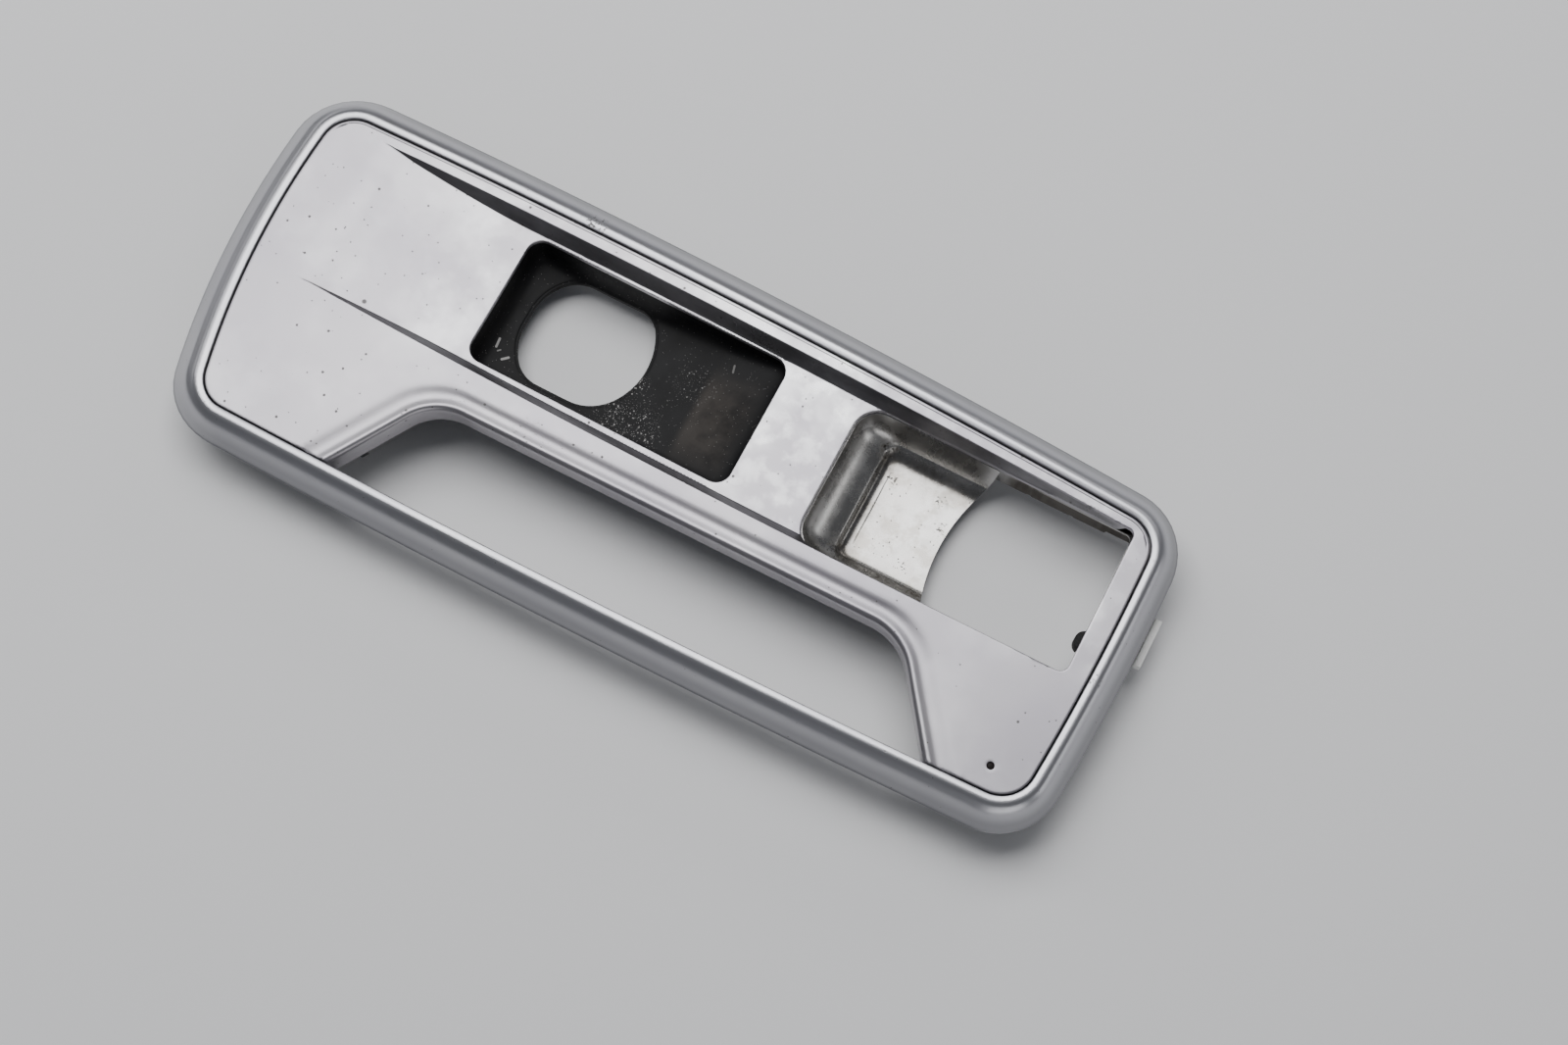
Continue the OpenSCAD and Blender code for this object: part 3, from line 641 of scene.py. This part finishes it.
def seamOutline():
    low, high = boxOf("inlay_plate")
    r, along, gap, corner = (seamShape[k] for k in ("radii", "along", "gap", "corner"))
    sides = [(along[0], low.y - gap + r[0]), (high.x + gap - r[1], along[1]),
             (along[2], high.y + gap - r[2]), (low.x - gap + r[3], along[3])]
    corners = []
    for i in range(4):
        (ax, ay), (bx, by) = sides[i], sides[(i + 1) % 4]
        ra, rb = r[i] - corner, r[(i + 1) % 4] - corner
        d = math.dist((ax, ay), (bx, by))
        t = (ra * ra - rb * rb + d * d) / (2 * d)
        h = math.sqrt(ra * ra - t * t)
        ux, uy = (bx - ax) / d, (by - ay) / d
        found = [(ax + t * ux - h * k * uy, ay + t * uy + h * k * ux) for k in (1, -1)]
        corners.append(min(found, key=lambda p: math.dist(p, seamShape["near"][i])))

    def angle(a, b):
        return math.atan2(b[1] - a[1], b[0] - a[0])

    def sample(step):
        out = []
        for i in range(4):
            a0 = angle(sides[i], corners[i - 1])
            a1 = a0 + (angle(sides[i], corners[i]) - a0) % (2 * math.pi)
            a2 = a1 + (angle(sides[(i + 1) % 4], corners[i]) - a1) % (2 * math.pi)
            out += arcSamples(sides[i], r[i], a0, a1 - a0, step)
            out += arcSamples(corners[i], corner, a1, a2 - a1, step)
        return out
    return Outline(sample)


seam = seamOutline()
plateTopZ = boxOf("inlay_plate")[1].z
webTop = 14.5             # the carrier's web, which the screw bosses stand on


# The section's points are a distance out from the seam and a height from the plate's top.
rim = {"rail": 9.8, "right": 9.3, "upper": 10.5, "left": 12.3, "bead": 3.4, "step": 2.0, "groove": 0.28,
       "outer": [(0, -0.4), (0.02, -0.06), (0.08, 0.16), (0.22, 0.3), (0.5, 0.4), (0.95, 0.5), (1.45, 0.57),
                 (1.95, 0.55), (2.5, 0.43), (3.4, 0.0), (4.8, -1.15), (6, -2.65), (7.2, -4.6), (8.3, -6.75),
                 (9.2, -8.55), (9.68, -9.15), (9.72, -9.32), (9.5, -9.4)],
       "inner": [(7.9, -9.4), (6.7, -7.7), (5.6, -5.6), (4.5, -3.8), (3.4, -2.4), (2, -1.6)],
       "foot": [(2, -11.5), (0, -11.5)], "bossRadius": 2.5, "bossBore": 1.5,
       "bossTop": 20.6, "bar": 3.4}


def rimWidth(nx, ny):
    return (rim["right"] * max(nx, 0) ** 2 + rim["left"] * max(-nx, 0) ** 2
            + rim["upper"] * max(ny, 0) ** 2 + rim["rail"] * max(-ny, 0) ** 2)


def surroundShell():
    section = smoothCurve(rim["outer"], 4) + smoothCurve(rim["inner"], 2) + rim["foot"]
    stations = seam.sample(rim["step"])
    verts, faces = [], []
    for x, y, nx, ny in stations:
        spread = (rimWidth(nx, ny) - rim["bead"]) / (rim["rail"] - rim["bead"])
        leftEnd = max(-nx, 0) ** 4
        for s, z in section:
            out = s if s <= rim["bead"] else rim["bead"] + (s - rim["bead"]) * spread
            dip = rim["groove"] * leftEnd * ease((s - 3.0) / 0.9) * (1 - ease((s - 4.1) / 1.3))
            verts.append((x + nx * out, y + ny * out, plateTopZ + z - (dip if z > -3 else 0)))
    n, m = len(stations), len(section)
    faces = [(i * m + k, i * m + (k + 1) % m, (i + 1) % n * m + (k + 1) % m, (i + 1) % n * m + k)
             for i in range(n) for k in range(m)]
    bosses = [tube(at, rim["bossRadius"], rim["bossBore"], webTop, rim["bossTop"])
              for at in screwSpots("surround_screws")]
    bosses += [tube(at, rim["bossRadius"], rim["bossBore"], webTop + rim["bar"], rim["bossTop"])
               for at in screwSpots("rail_screws")]
    standIn("surround", newMesh("surround", (verts, faces), *bosses), 50)


plate = {"sheet": 1.8, "band": 5, "bandSheet": 1.6, "start": -134.4, "ramp": 55.4, "end": 127, "runUp": 3.1,
         "runLow": 3.2, "lip": 2.0, "valley": 0.65, "valleyAt": 4.4, "valleyEnd": 7.6, "flare": 2.4,
         "wall": 9.5, "wallSheet": 1.6, "edge": 0.1, "edgeWide": 0.5, "edgeRound": 0.12, "line": 0.2,
         "lineAt": 0.9, "lineWide": 0.16, "mouthEdge": 0.3, "lensHole": 1.15, "lensEdge": 0.2,
         "upperCrease": (50.2, -85, 8400), "lowerCrease": (-4.6, 50, 9940), "rampPower": 1.6,
         "startFade": (2, 15), "endFade": 2.5, "skirt": 1.5, "skirtFrom": 44,
         "bossRadius": 3.4, "bossBore": 1.5,
         "outlineRings": (0.05, 0.12, 0.3, 0.5, 0.73, 0.82, 0.9, 0.98, 1.07, 1.5, 2.4),
         "mouthRings": (0.06, 0.15, 0.3, 0.7, 1.4, 1.6),
         "gripRings": (0.05, 0.16, 0.34, 0.58, 0.88, 1.25, 1.65, 2, 2.4, 2.9,
                       3.4, 3.9, 4.4, 4.9, 5.5, 6.2, 7, 7.8, 9, 10.5),
         "lensRings": (1.25, 1.4, 2.2, 3.4),
         "creaseLines": (-0.12, 0.12, -0.28, 0.28, -0.6, 0.6, -1.3), "footTo": 48, "pace": 1.2, "grid": 2.5}
pocketShape = {"left": -76.7, "right": 13.9, "low": 1.3, "width": 44.4, "taper": 0.4, "radius": 5}
leverShape = {"corners": [(39.7, -4.4), (130, -4.1), (130, 44.7), (39.7, 45.3)], "radii": (8.5, 3, 2, 8.5)}
gripShape = {"left": (-75.4, -17), "right": (82.3, -15.8), "slopes": (59, 53.4), "low": -60,
             "radii": (3, 3, 19, 17)}
lensAt = screwSpots("indicator_lens")[0]


def gripOutline():
    (lx, ly), (rx, ry), low = gripShape["left"], gripShape["right"], gripShape["low"]
    a, b = (math.tan(math.radians(s)) for s in gripShape["slopes"])
    return roundedOutline([(lx - (ly - low) / a, low), (rx + (ry - low) / b, low), (rx, ry), (lx, ly)],
                          gripShape["radii"])


def pocketOutline():
    p = pocketShape
    top = p["low"] + p["width"]
    return roundedOutline([(p["left"], p["low"] + p["taper"]), (p["right"], p["low"] - p["taper"]),
                           (p["right"], top - p["taper"]), (p["left"], top + p["taper"])],
                          [p["radius"]] * 4)


grip = gripOutline()
pocketMouth = pocketOutline()
leverMouth = roundedOutline(leverShape["corners"], leverShape["radii"])


def creaseUp(x):
    peak, at, bend = plate["upperCrease"]
    return peak - (x - at) ** 2 / bend


def creaseLow(x):
    foot, at, bend = plate["lowerCrease"]
    return foot + (x - at) ** 2 / bend


def reachUp(x):
    left, right = leverShape["corners"][0][0], leverShape["corners"][1][0]
    return plate["runUp"] * (1 - clamp01((x - left) / (right - left)))


def bandDepth(x):
    t = clamp01((x - plate["start"]) / plate["ramp"])
    ahead, reach = plate["startFade"]
    return plate["band"] * (1 - (1 - t) ** plate["rampPower"]) * ease((x - plate["start"] + ahead) / reach)


def bandSink(x, y, side=0.0):     # how far the band has sunk; side widens it for the underside
    fade = plate["endFade"]
    depth = bandDepth(x) * (1 - ease((x - plate["end"] + fade) / fade))
    if depth < 0.004:
        return 0.0
    k = 0.02 + 0.045 * depth
    low = (y - creaseLow(x) + side) * plate["band"] / plate["runLow"]
    up = (creaseUp(x) - y + side) * plate["band"] / max(reachUp(x), 0.15)
    return softMax(softMin(softMin(depth, low, k), up, k), k)


def plateHeight(x, y):
    u, nx, ny = grip.near(x, y)
    z = plateTopZ - bandSink(x, y) - edgeDrop(u, plate["lip"])
    end = plate["valleyEnd"] + plate["flare"] * abs(nx)
    floor = plate["valleyAt"]
    z -= plate["valley"] * ease((u - 1) / (floor - 1)) * (1 - ease((u - floor - 0.3) / (end - floor - 0.3)))
    d, _, sy = seam.near(x, y)
    e = -d - seamShape["gap"]
    z -= plate["edge"] * clamp01(1 - e / plate["edgeWide"]) + edgeDrop(e, plate["edgeRound"])
    z -= plate["line"] * clamp01(1 - abs(e - plate["lineAt"]) / plate["lineWide"]) * ease(sy * 2 - 0.6)
    z -= edgeDrop(pocketMouth.away(x, y), plate["mouthEdge"])
    z -= edgeDrop(leverMouth.away(x, y), plate["mouthEdge"])
    return z - edgeDrop(math.dist((x, y), lensAt) - plate["lensHole"], plate["lensEdge"])


def plateUnder(x, y):
    if grip.away(x, y) < plate["wallSheet"] - 0.15:
        return plateTopZ - plate["wall"]
    wide = bandSink(x, y, plate["skirt"])
    z = plateTopZ - plate["sheet"]
    if wide > 0.02:
        z = min(z, plateTopZ - plate["bandSheet"] - wide)
    if leverMouth.away(x, y) < plate["skirt"] and y < 0 and plate["skirtFrom"] < x < plate["end"]:
        z = plateTopZ - plate["band"] - plate["bandSheet"]
    return z


def plateInside(x, y):
    return (seam.away(x, y) < -seamShape["gap"] - 0.004 and grip.away(x, y) > 0
            and pocketMouth.away(x, y) > 0 and leverMouth.away(x, y) > 0
            and math.dist((x, y), lensAt) > plate["lensHole"])


def inlayPlate():
    def circle(r):
        turns = [k * math.pi / 12 for k in range(24)]
        return [(lensAt[0] + r * math.cos(a), lensAt[1] + r * math.sin(a)) for a in turns]

    loops = [seam.ring(-seamShape["gap"], 1.2), grip.ring(0, 1.0), pocketMouth.ring(0, 1.2),
             leverMouth.ring(0, 1.2), circle(plate["lensHole"])]
    spots = Sprinkle()
    for i, loop in enumerate(loops):
        spots.add(loop, i, 0, 0)
    pace = plate["pace"]
    xs = [plate["start"] + pace * k for k in range(int((plate["end"] - plate["start"]) / pace))]
    shares = [(x, bandDepth(x) / plate["band"]) for x in xs if x > plate["start"] + 4]
    feet = [(x, t) for x, t in shares if x < plate["footTo"]]     # where the creases' feet are drawn
    lines = [[(x, creaseLow(x)) for x, t in shares], [(x, creaseUp(x)) for x, t in shares],
             [(x, creaseLow(x) + plate["runLow"] * t) for x, t in feet],
             [(x, creaseUp(x) - reachUp(x) * t) for x, t in feet]]
    for line in lines:
        spots.add(line, 5, 0, 0)
    fixed = len(spots.points)
    for e in plate["outlineRings"]:
        spots.add(seam.ring(-seamShape["gap"] - e, 1.2), 0, 0.03, 0.25)
    for u in plate["gripRings"]:
        spots.add(grip.ring(u, 1.0), 1, 0.03, 0.25)
    for off in plate["creaseLines"]:
        spots.add([(x, creaseLow(x) + off) for x in xs], 5, 0.1, 0.2)
        spots.add([(x, creaseUp(x) - off) for x in xs], 5, 0.1, 0.2)
        spots.add([(x, creaseLow(x) + plate["runLow"] * t + off) for x, t in feet], 5, 0.1, 0.2)
        spots.add([(x, creaseUp(x) - reachUp(x) * t - off) for x, t in feet], 5, 0.1, 0.2)
    for e in plate["mouthRings"]:
        spots.add(pocketMouth.ring(e, 1.2), 2, 0.03, 0.2)
        spots.add(leverMouth.ring(e, 1.2), 3, 0.03, 0.25)
    for r in plate["lensRings"]:
        spots.add(circle(r), 4, 0.03, 0.3)
    low, high = boxOf("inlay_plate")
    pitch = plate["grid"]
    for i in range(int((high.x - low.x) / pitch)):
        for j in range(int((high.y - low.y) / pitch) + 1):
            spots.add([(low.x + pitch * (i + 0.5 + 0.5 * (j % 2)), low.y + pitch * j)], 6, 1.0, 1.1)
    loose = [p for p in spots.points[fixed:] if plateInside(*p)]
    made = sheet(loops, loose, plateInside, plateHeight, plateUnder, lines)
    bosses = [tube(at, plate["bossRadius"], plate["bossBore"], webTop, plateUnder(*at) + 0.6)
              for at in screwSpots("plate_screws")]
    standIn("inlay_plate", newMesh("inlayPlate", made, *bosses), 42)


liner = {"wall": 1.6, "flange": 2.4, "thick": 1.5, "deep": 8, "deepAt": -48, "radius": 230, "round": 5.0,
         "window": [(-61.2, 6.8), (-35.9, 6.8), (-27.4, 19.7), (-27.4, 33.1), (-33.5, 43.6), (-61.2, 43.6),
                    (-68.5, 33.9), (-68.5, 16.2)], "windowRadii": (11, 16, 22, 25, 9, 12, 18, 18),
         "rings": (-1.7, -1.6, -1.5, -1.3, -0.9, -0.4, 0.04, 0.12, 0.3, 0.6, 0.9, 1.2, 1.6, 2.2, 3, 4, 5.5),
         "windowRings": (0.05, 0.15, 0.35, 0.72, 0.8, 0.9, 0.98, 1.7), "windowEdge": 0.2,
         "step": 0.25, "stepFrom": 0.75, "stepWide": 0.2, "grid": 2.2,
         "bossRadius": 2.6, "bossBore": 1.1}


def linerPocket():
    top = boxOf("switch_pocket")[1].z
    window = roundedOutline(liner["window"], liner["windowRadii"])

    def floor(x):
        r = liner["radius"]
        return liner["deep"] + r - math.sqrt(r ** 2 - (x - liner["deepAt"]) ** 2)

    def rise(e):                  # 1 at the mouth's edge, 0 on the floor
        return 1 - (1 - (1 - clamp01(e / liner["round"])) ** 3) ** (1 / 3)

    def height(x, y):
        e = -pocketMouth.away(x, y)
        if e <= 0:
            return top
        z = floor(x) + max(top - floor(x), 0) * rise(e)
        a = window.away(x, y)     # a small step runs round the window
        step = liner["step"] * (1 - ease((a - liner["stepFrom"]) / liner["stepWide"]))
        return min(top, z - edgeDrop(a, liner["windowEdge"]) - step)

    def under(x, y):
        e = liner["wall"] - pocketMouth.away(x, y)
        low, brim = floor(x) - liner["wall"], top - liner["thick"]
        return brim if e <= 0 else min(brim, low + max(brim - low, 0) * rise(e))

    def inside(x, y):
        return pocketMouth.away(x, y) < liner["flange"] and window.away(x, y) > 0

    loops = [pocketMouth.ring(liner["flange"], 1.5), window.ring(0, 0.9)]
    spots = Sprinkle()
    for i, loop in enumerate(loops):
        spots.add(loop, i, 0, 0)
    fixed = len(spots.points)
    for e in liner["rings"]:
        spots.add(pocketMouth.ring(-e, 1.1), 2, 0.03, 0.22)
    for e in liner["windowRings"]:
        spots.add(window.ring(e, 0.9), 1, 0.03, 0.22)
    p, pitch = pocketShape, liner["grid"]
    for i in range(int((p["right"] - p["left"]) / pitch)):
        for j in range(int(p["width"] / pitch)):
            spots.add([(p["left"] + pitch * (i + 0.5 * (j % 2)), p["low"] + pitch * j)], 6, 0.9, 0.9)
    loose = [q for q in spots.points[fixed:] if inside(*q)]
    parts = [sheet(loops, loose, inside, height, under)]
    for x, y in screwSpots("pocket_screws"):
        r = liner["bossRadius"]
        parts.append(tube((x, y), r, liner["bossBore"], webTop, top - 0.1))
        edge = p["left"] - 2 if x < 0 else p["right"] + 1.2
        parts.append(block(min(x, edge), y - r, top - liner["thick"], max(x, edge), y + r, top))
    standIn("switch_pocket", newMesh("linerPocket", *parts), 40)


# A level is its height, its inset from the left, upper and lower sides, and its corner radius.
bowl = {"sheet": 1.2, "arc": (139.7, 18), "arcRadius": 60.6, "mouth": (39.7, -4.4, 45.3), "across": 16,
        "flange": [(32.6, -6.4), (136, -6.4), (136, 46.6), (32.6, 47.4)], "flangeRound": 3,
        "notch": (126, 138, 3.6), "bossRadius": 2.6, "bossBore": 1.1,
        "cheeks": ((45.35, 46.55), (-5.7, -4.5)), "dish": 0.12,
        "levels": [(19.35, 0, 0, 0, 8.5), (17.5, 0.5, 0.35, 0.35, 8.3), (15, 1.9, 0.8, 0.8, 8),
                   (12.5, 4.2, 1.5, 1.5, 7.4), (10.5, 6.9, 2.3, 2.3, 6.6), (9.2, 9.1, 3.0, 3.1, 5.8),
                   (8.5, 10.3, 3.5, 3.6, 5.2), (8.1, 10.8, 4.1, 4.2, 4.6), (7.2, 11.4, 5.2, 5.2, 3.9),
                   (6.5, 12.05, 6.2, 6.1, 3.4), (6.0, 12.8, 7.2, 6.9, 3.0), (5.7, 13.6, 8.1, 7.7, 2.8),
                   (5.55, 14.5, 9.1, 8.5, 2.6), (5.5, 15.5, 10.1, 9.4, 2.5)],
        "arm": 26, "corner": 12, "side": 22,
        "cheekHigh": ((78, 9.4), (78.6, 9.0), (95.2, 9.0), (95.6, 9.7), (96.8, 9.7), (97.2, 9.0),
                      (109.6, 9.0), (110, 9.6), (111, 9.6), (111.4, 9.0), (121.4, 9.0), (122, 9.5),
                      (122, 10.6), (122.5, 11.0), (130.9, 11.0), (131.4, 11.5))}


def bowlRing(z, left, up, low, r):        # an open line: lower arm, left side, upper arm
    mouthLeft, mouthLow, mouthHigh = bowl["mouth"]
    x0, y0, y1 = mouthLeft + left, mouthLow + low, mouthHigh - up
    cx, cy = bowl["arc"]

    def onArc(y):
        return cx - math.sqrt(bowl["arcRadius"] ** 2 - (y - cy) ** 2)

    line = []
    for k in range(bowl["arm"]):
        x = onArc(y0) + (x0 + r - onArc(y0)) * k / bowl["arm"]
        line.append((x, y0, z))
    for k in range(bowl["corner"]):
        a = -math.pi / 2 - math.pi / 2 * k / bowl["corner"]
        line.append((x0 + r + r * math.cos(a), y0 + r + r * math.sin(a), z))
    for k in range(bowl["side"]):
        line.append((x0, y0 + r + (y1 - y0 - 2 * r) * k / bowl["side"], z))
    for k in range(bowl["corner"]):
        a = math.pi - math.pi / 2 * k / bowl["corner"]
        line.append((x0 + r + r * math.cos(a), y1 - r + r * math.sin(a), z))
    for k in range(bowl["arm"] + 1):
        x = x0 + r + (onArc(y1) - x0 - r) * k / bowl["arm"]
        line.append((x, y1, z))
    return line


def bowlScoop():
    rings = [bowlRing(*level) for level in smoothCurve(bowl["levels"], 4)]
    size = len(rings[0])
    verts = [p for ring in rings for p in ring]
    faces = [(i * size + k, (i + 1) * size + k, (i + 1) * size + k + 1, i * size + k + 1)
             for i in range(len(rings) - 1) for k in range(size - 1)]
    last = (len(rings) - 1) * size
    half = (size - 1) // 2
    across = bowl["across"]
    cx, cy = bowl["arc"]
    rows = []
    for k in range(half):         # floor rows join the lower side to the upper side
        a, b = verts[last + k], verts[last + size - 1 - k]
        share = max(0.0, 1 - k / bowl["arm"]) ** 1.5
        row = [last + k]
        for j in range(1, across):
            t = j / across
            y = a[1] + (b[1] - a[1]) * t
            x = a[0] + (b[0] - a[0]) * t
            x += (cx - math.sqrt(bowl["arcRadius"] ** 2 - (y - cy) ** 2)
                  - (verts[last][0] + (verts[last + size - 1][0] - verts[last][0]) * t)) * share
            dish = bowl["dish"] * math.sin(math.pi * t) * ease(k / 20)
            verts.append((x, y, a[2] - dish))
            row.append(len(verts) - 1)
        rows.append(row + [last + size - 1 - k])
    for a, b in zip(rows, rows[1:]):
        faces += [(a[j], b[j], b[j + 1], a[j + 1]) for j in range(across)]
    faces.append(tuple(rows[-1]) + (last + half,))
    return verts, faces


def fingerBowl():
    top = boxOf("finger_bowl")[1].z
    scoop = withModifier("scoop", newMesh("scoop", bowlScoop()), "SOLIDIFY",
                         thickness=bowl["sheet"] * mm, offset=0)
    brim = roundedOutline(bowl["flange"], [bowl["flangeRound"]] * 4)
    stopY = sum(boxOf("bump_stop")[k].y for k in (0, 1)) / 2
    x0, x1, half = bowl["notch"]             # a cut-out for the stop
    notch = [(x0, stopY - half), (x1, stopY - half), (x1, stopY + half), (x0, stopY + half)]

    def inside(x, y):
        return (brim.away(x, y) < 0 and leverMouth.away(x, y) > 0 and seam.away(x, y) < -seamShape["gap"]
                and not (x0 < x < x1 and abs(y - stopY) < half))

    loops = [brim.ring(0, 3), leverMouth.ring(0, 1.5), seam.ring(-seamShape["gap"], 3), notch]
    made = sheet(loops, [], inside, lambda x, y: top, lambda x, y: top - bowl["sheet"])
    cheek = list(bowl["cheekHigh"]) + [(131.4, top), (78, top)]
    parts = [made] + [prism(cheek, 1, *side) for side in bowl["cheeks"]]
    parts += [tube(at, bowl["bossRadius"], bowl["bossBore"], webTop, top - 0.2)
              for at in screwSpots("bowl_screws")]
    scoopPart = ([tuple(v.co / mm) for v in scoop.vertices], [tuple(p.vertices) for p in scoop.polygons])
    standIn("finger_bowl", newMesh("fingerBowl", scoopPart, *parts), 36)


softened = {"carrier": 0.25, "end_tongue": 0.4, "tongue_cover": 0.3, "bump_stop": 0.5, "rail_core": 0.3,
            "felt_strips": 0.2}


def restyled(node):
    work = bmesh.new()
    work.from_mesh(nodes[node].data)
    bmesh.ops.remove_doubles(work, verts=work.verts, dist=1e-6)
    mesh = bpy.data.meshes.new(node)
    if node in softened:
        bmesh.ops.dissolve_limit(work, angle_limit=math.radians(1), verts=work.verts, edges=work.edges)
    work.to_mesh(mesh)
    work.free()
    if node in softened:
        mesh = withModifier(node, mesh, "BEVEL", width=softened[node] * mm, segments=2,
                            limit_method="ANGLE", angle_limit=math.radians(35))
    standIn(node, mesh, 40)


def addFloor():
    s = room["floor"]
    mesh = bpy.data.meshes.new("floor")
    mesh.from_pydata([(-s, -s, 0), (s, -s, 0), (s, s, 0), (-s, s, 0)], [], [(0, 1, 2, 3)])
    f = Finish("floor")
    fine = f.noise(220, 4, 0.6)
    colour = f.blend(fine * 0.3, (0.88, 0.88, 0.89, 1), (0.84, 0.84, 0.85, 1))
    mesh.materials.append(f.surface(Base_Color=colour, Roughness=0.75, Normal=f.bump(fine, 0.0001, 0.3)))
    newObject("floor", mesh)
    print("floor", 2 * s)


remade = {"surround": surroundShell, "inlay_plate": inlayPlate, "switch_pocket": linerPocket,
          "finger_bowl": fingerBowl}

addCamera()
addLamps()
addFloor()
for remake in remade.values():
    remake()
for node in nodes:
    if node not in remade:
        restyled(node)
